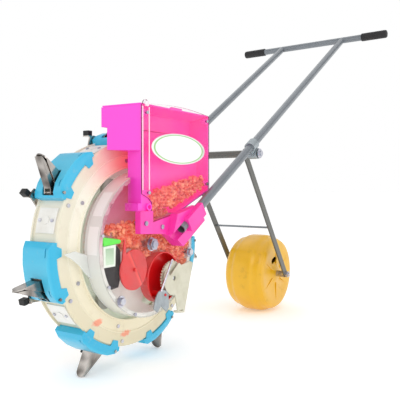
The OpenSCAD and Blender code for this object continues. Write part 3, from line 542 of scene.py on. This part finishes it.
seeds = {"length": 0.0128, "width": 0.0098, "thick": 0.0072, "pinch": 0.28, "rings": 4, "around": 7,
         "pitch": 0.0092, "packing": (1, 0.87, 0.82), "nudge": 0.16, "sizes": (0.86, 1.1), "draw": 7}
seedTones = [tone(240, 104, 70), tone(252, 158, 116), tone(206, 60, 44)]


def seedFinish():
    f = finish("seedCoat", seedTones[0], Coat_Weight=0.4, Coat_Roughness=0.15, Emission_Strength=0.1)
    cell = f.noise(58, 1, 0.4)
    pale = f.step(cell, 0.46, 0.6)
    dark = f.step(f.noise(70, 1), 0.54, 0.64)
    shade = f.mix(dark * 0.6, f.mix(pale, seedTones[0], seedTones[1]), seedTones[2])
    f.paint(shade)
    # painted light: the seeds glow a little with their own colour so they look lighter
    f.glow(shade)
    f.roughen(0.38 + cell * 0.2)
    f.bump(f.noise(900, 2), 0.2, 0.0003)
    return f


finishes["seedCoat"] = seedFinish()


def bands(rings, around):
    # two triangles for each step round each band between neighbouring rings of points
    i, j = np.meshgrid(np.arange(rings - 1), np.arange(around), indexing="ij")
    here, ahead = i * around + j, i * around + (j + 1) % around
    return np.stack([here, here + around, ahead, ahead, here + around, ahead + around], -1).reshape(-1, 3)


def fan(tip, first, around):
    # triangles from a tip point to the ring that starts at point first
    j = np.arange(around)
    return np.stack([np.full(around, tip), first + j, first + (j + 1) % around], -1)


def kernel():
    # one seed, an ellipsoid that is thinner at one end: point = (cos t, sin t cos u, sin t sin u) times
    # the half sizes, the last two also times 1 - pinch cos t, on rings of t with a point at each end
    rings, around = seeds["rings"], seeds["around"]
    t, u = np.meshgrid(np.linspace(0, math.pi, rings + 2)[1:-1],
                       np.linspace(0, 2 * math.pi, around, endpoint=False), indexing="ij")
    pinch = 1 - seeds["pinch"] * np.cos(t)
    grid = np.stack([np.cos(t) * seeds["length"] / 2,
                     np.sin(t) * np.cos(u) * pinch * seeds["width"] / 2,
                     np.sin(t) * np.sin(u) * pinch * seeds["thick"] / 2], -1).reshape(-1, 3)
    ends = np.array([[seeds["length"] / 2, 0, 0], [-seeds["length"] / 2, 0, 0]])
    frontTip, lastRing = rings * around, (rings - 1) * around
    faces = np.concatenate([bands(rings, around), fan(frontTip, 0, around),
                            fan(frontTip + 1, lastRing, around)[:, [0, 2, 1]]])
    return np.concatenate([grid, ends]), faces


def scatter(name, low, high, inside, front=None):
    # seeds on a shifted close-packed lattice, each nudged and turned at random, none of them
    # nearer than front says
    rng = np.random.default_rng(seeds["draw"])
    p = seeds["pitch"]
    xs, ys, zs = (np.arange(low[i], high[i], p * share) for i, share in enumerate(seeds["packing"]))
    x, y, z = np.meshgrid(xs, ys, zs, indexing="ij")
    layer, row = np.indices(x.shape)[2], np.indices(x.shape)[1]
    x = x + (row % 2) * p / 2 + (layer % 2) * p / 3
    y = y + (layer % 2) * p / 4
    spots = np.stack([x, y, z], -1).reshape(-1, 3) + rng.normal(0, p * seeds["nudge"], (x.size, 3))
    spots = spots[inside(*spots.T)]
    spots[:, 1] = np.clip(spots[:, 1], low[1], high[1])
    if front:
        spots[:, 1] = np.maximum(spots[:, 1], front(spots[:, 0], spots[:, 2]))
    turn = rng.normal(size=(len(spots), 4))
    turn /= np.linalg.norm(turn, axis=1, keepdims=True)
    w, a, b, c = turn.T
    spin = np.stack([1 - 2 * (b * b + c * c), 2 * (a * b - w * c), 2 * (a * c + w * b),
                     2 * (a * b + w * c), 1 - 2 * (a * a + c * c), 2 * (b * c - w * a),
                     2 * (a * c - w * b), 2 * (b * c + w * a), 1 - 2 * (a * a + b * b)], -1)
    points, faces = kernel()
    size = rng.uniform(*seeds["sizes"], (len(spots), 1, 1))
    every = np.einsum("nij,kj->nki", spin.reshape(-1, 3, 3), points) * size
    every = every + spots[:, None] + [axleX, 0, axleZ]
    index = faces[None] + (np.arange(len(spots)) * len(points))[:, None, None]
    obj = surface(name, every.reshape(-1, 3), index.reshape(-1, 3))
    obj.data.materials.append(finishes["seedCoat"].material)
    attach(obj, "frame")
    print(name, len(spots), "seeds")


def surface(name, points, faces, smooth=True):
    # a piece from arrays of points and faces
    mesh = bpy.data.meshes.new(name)
    faces = np.asarray(faces)
    sides = faces.shape[1]
    mesh.vertices.add(len(points))
    mesh.vertices.foreach_set("co", np.asarray(points, np.float32).ravel())
    mesh.loops.add(faces.size)
    mesh.loops.foreach_set("vertex_index", faces.astype(np.int32).ravel())
    mesh.polygons.add(len(faces))
    mesh.polygons.foreach_set("loop_start", np.arange(0, faces.size, sides, dtype=np.int32))
    mesh.update(calc_edges=True)
    mesh.validate()
    mesh.polygons.foreach_set("use_smooth", np.full(len(mesh.polygons), smooth))
    obj = bpy.data.objects.new(name, mesh)
    bpy.context.scene.collection.objects.link(obj)
    return obj


# the heap in the chamber: its upper line, and what it keeps clear of, as circles and as the corners
# of the brush box
chamberHeap = {"top": [(-0.160, 0.036), (-0.076, 0.050), (-0.014, 0.050), (-0.013, 0.078), (0.066, 0.078),
                       (0.068, 0.056), (0.110, 0.046), (0.150, 0.014)],
               "low": (-0.155, clearDisc + 0.006, -0.07), "high": (0.155, backPlate - 0.006, 0.08),
               "wall": 0.1495, "box": [(-0.092, 0.029), (-0.078, 0.012)],
               "circles": [(gate["across"], gate["up"], 0.047), (0.045, -0.078, 0.0615),
                           (0.0, 0.0, 0.013), (-0.082, 0.1216, 0.009), (0.1435, -0.0305, 0.009)]}


def inChamber(x, y, z):
    top = np.interp(x, *zip(*chamberHeap["top"]))
    keep = (z < top) & (np.hypot(x, z) < chamberHeap["wall"]) & (z > chamberHeap["low"][2])
    for across, up in chamberHeap["box"]:
        keep &= (x > across) | (z > up)
    for across, up, r in chamberHeap["circles"]:
        keep &= np.hypot(x - across, z - up) > r
    return keep


def behindGate(x, z):
    # the gate's lever swings over these seeds, so they lie behind its path
    swept = np.hypot(x - gate["across"], z - gate["up"]) < gate["swing"]
    return np.where(swept, gate["behind"], clearDisc)


hopperHeap = {"top": [(-0.060, 0.088), (-0.021, 0.105), (0.080, 0.133), (0.200, 0.152)],
              "floor": [(-0.060, 0.125), (-0.026, 0.104), (-0.017, 0.092), (-0.0165, 0.078), (0.065, 0.078),
                        (0.0655, 0.079), (0.200, 0.128)],
              "low": (-0.045, hopperFront + 0.0055, 0.07), "high": (0.195, -0.0745, 0.155),
              "ends": (-0.044, 0.194)}


def inHopper(x, y, z):
    top = np.interp(x, *zip(*hopperHeap["top"]))
    floor = np.interp(x, *zip(*hopperHeap["floor"]))
    left, right = hopperHeap["ends"]
    return (z < top) & (z > floor) & (x > left) & (x < right)


scatter("seeds_chamber", chamberHeap["low"], chamberHeap["high"], inChamber, behindGate)
scatter("seeds_hopper", hopperHeap["low"], hopperHeap["high"], inHopper)


# a plain oval stuck on the clear cover
label = {"x": 0.0795, "z": 0.2095, "halfLength": 0.102, "halfHeight": 0.0345, "lift": 0.0004,
         "paper": 0.0003, "rings": 9, "around": 72, "bandInner": (0.86, 0.875), "bandOuter": (0.935, 0.92),
         "print": tone(126, 196, 84)}


def labelFinish():
    f = finish("labelPaper", tone(250, 250, 248), Coat_Weight=0.5, Coat_Roughness=0.08, Roughness=0.3)
    x, _, z = f.axes()
    out = f.spot(x, z, (label["x"], label["z"]), label["halfLength"], label["halfHeight"])
    band = f.step(out, *label["bandInner"]) * f.step(out, *label["bandOuter"])
    f.paint(f.mix(band * 0.8 + f.noise(200, 2) * 0.04, tone(252, 252, 250), label["print"]))
    f.roughen(0.28 + f.noise(60, 2) * 0.1)
    f.bump(f.noise(260, 2), 0.05, 0.0002)
    return f


finishes["labelPaper"] = labelFinish()


def makeLabel():
    # an ellipse: point = centre + share of the half sizes times (cosine, sine), on rings round it
    rings, around = label["rings"], label["around"]
    share, angle = np.meshgrid(np.linspace(0, 1, rings + 1)[1:],
                               np.linspace(0, 2 * math.pi, around, endpoint=False), indexing="ij")
    x = label["x"] + share * np.cos(angle) * label["halfLength"] + axleX
    z = label["z"] + share * np.sin(angle) * label["halfHeight"] + axleZ
    depth = coverFront - label["lift"]
    points = np.concatenate([np.stack([x, np.full_like(x, depth), z], -1).reshape(-1, 3),
                             [[label["x"] + axleX, depth, label["z"] + axleZ]]])
    faces = np.concatenate([fan(len(points) - 1, 0, around), bands(rings, around)])
    obj = surface("hopper_label", points, faces)
    thick = obj.modifiers.new("paper", "SOLIDIFY")
    thick.thickness = label["paper"]
    thick.offset = 0
    obj.data.materials.append(finishes["labelPaper"].material)
    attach(obj, "frame")


makeLabel()
print("label made")

ground = {"reach": 60, "drop": 0.0005}


def makeFloor():
    # a flat square: point = (x, y, -drop)
    x, y = np.meshgrid([-ground["reach"], ground["reach"]], [-ground["reach"], ground["reach"]],
                       indexing="ij")
    obj = surface("floor", np.stack([x, y, np.full(x.shape, -ground["drop"])], -1).reshape(-1, 3),
                  np.array([[0, 2, 3, 1]]), False)
    f = finish("floorPaper", tone(250, 250, 250), Specular_IOR_Level=0.1, Emission_Strength=0.24)
    f.glow((1, 1, 1, 1))
    f.paint(f.mix(f.noise(3, 2) * 0.04, tone(250, 250, 250), tone(240, 240, 242)))
    f.roughen(0.85 + f.noise(30, 2) * 0.1)
    obj.data.materials.append(f.material)


makeFloor()

skyBands = [(0.38, 1.0), (0.46, 0.42), (0.64, 0.42), (0.74, 1.0)]  # height, brightness


def makeSky():
    world = bpy.data.worlds.new("studio")
    bpy.context.scene.world = world
    world.use_nodes = True
    background = world.node_tree.nodes["Background"]
    background.inputs["Strength"].default_value = 1.0
    sky = nodeNet(world.node_tree)
    direction = sky.add("ShaderNodeTexCoord", out="Generated")
    height = sky.add("ShaderNodeSeparateXYZ", out="Z", Vector=direction)
    sky.feed(background.inputs["Color"], sky.add("ShaderNodeValToRGB", {"stops": skyBands}, Fac=height))


makeSky()
bpy.context.scene.view_settings.view_transform = "Standard"  # colours stay as bright as the plastics are

lamps = {  # name: place, aim, side, watts
    "key": ((-2.4, -1.8, 2.6), (-0.3, 0, 0.4), 1.4, 16),
    "fill": ((-2.6, 1.6, 1.6), (-0.3, 0, 0.4), 2.2, 3),
    "back": ((1.8, 1.8, 2.8), (0.1, 0, 0.4), 2.0, 6),
    "nearSide": ((0.6, -2.8, 1.4), (-0.2, 0, 0.4), 1.2, 7),
}
for name, (place, aim, side, watts) in lamps.items():
    lamp = bpy.data.lights.new(name, "AREA")
    lamp.size = side
    lamp.energy = watts
    obj = bpy.data.objects.new(name, lamp)
    obj.location = place
    obj.rotation_mode = "QUATERNION"
    obj.rotation_quaternion = (Vector(aim) - Vector(place)).to_track_quat("-Z", "Y")
    bpy.context.scene.collection.objects.link(obj)

shot = {"place": (-1.3465, -0.8447, 0.3920), "heading": (0.8305, 0.5570), "down": 1.194,
        "lens": 49.91, "sensor": 36}
camera = bpy.data.objects.new("camera", bpy.data.cameras.new("camera"))
bpy.context.scene.collection.objects.link(camera)
camera.data.lens = shot["lens"]
camera.data.sensor_width = shot["sensor"]
camera.location = shot["place"]
tilt = math.radians(shot["down"])
east, north = shot["heading"]
look = Vector((east * math.cos(tilt), north * math.cos(tilt), -math.sin(tilt)))
camera.rotation_mode = "QUATERNION"
camera.rotation_quaternion = look.to_track_quat("-Z", "Y")
bpy.context.scene.camera = camera
print("studio ready")
